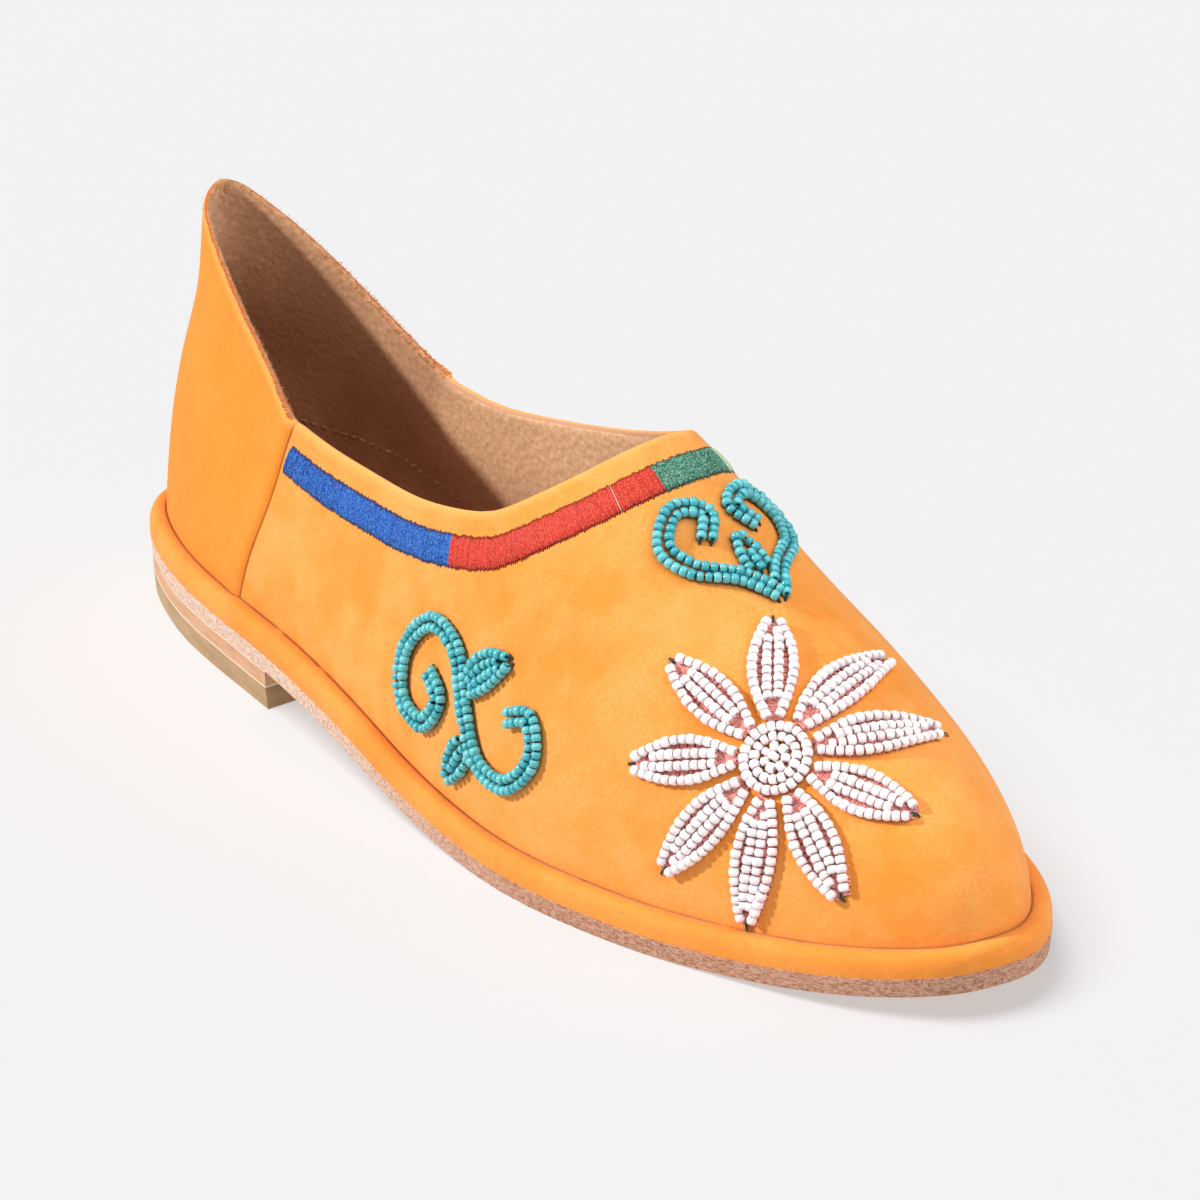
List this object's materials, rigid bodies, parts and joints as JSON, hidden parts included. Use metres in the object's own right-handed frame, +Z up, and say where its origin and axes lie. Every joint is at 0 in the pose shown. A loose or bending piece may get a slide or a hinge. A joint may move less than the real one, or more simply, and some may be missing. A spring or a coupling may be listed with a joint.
{
  "type": "slip-on mule",
  "caption": "Flat slip-on shoe with an almond toe, a high standing back, a thin leather sole with a low heel, an embroidered collar band and beaded ornaments on its vamp.",
  "frame": {"origin": "on the floor, under the middle of the shoe's box in plan", "axes": "+X from heel to toe, +Y to the inner side of the foot, +Z up from the floor"},
  "size_m": [0.256, 0.0834, 0.087],
  "materials": {
    "upper_nubuck": "soft orange nubuck with a short nap",
    "rand_leather": "orange leather, slightly smoother than the nubuck",
    "sole_leather": "natural leather with a raw, pinkish tan edge",
    "heel_leather": "stacked natural leather, raw edge",
    "top_piece_rubber": "smooth olive tan, low sheen",
    "insole_suede": "brown suede lining, matt",
    "thread_blue": "satin stitch",
    "thread_red": "satin stitch",
    "thread_green": "satin stitch",
    "thread_mint": "satin stitch",
    "thread_yellow": "satin stitch",
    "beads_turquoise": "glossy opaque beads",
    "beads_pink_white": "glossy opaque beads"
  },
  "bodies": {
    "root": {"upper": "upper_nubuck", "rand": "rand_leather", "outsole": "sole_leather", "heel_lift": "heel_leather", "heel_top_piece": "top_piece_rubber", "insole": "insole_suede", "embroidery_blue": "thread_blue", "embroidery_red": "thread_red", "embroidery_green": "thread_green", "embroidery_mint": "thread_mint", "embroidery_yellow": "thread_yellow", "bead_sprig_outer": "beads_turquoise", "bead_sprig_inner": "beads_turquoise", "bead_scroll_instep": "beads_turquoise", "bead_flower": "beads_pink_white"}
  },
  "joints": []
}
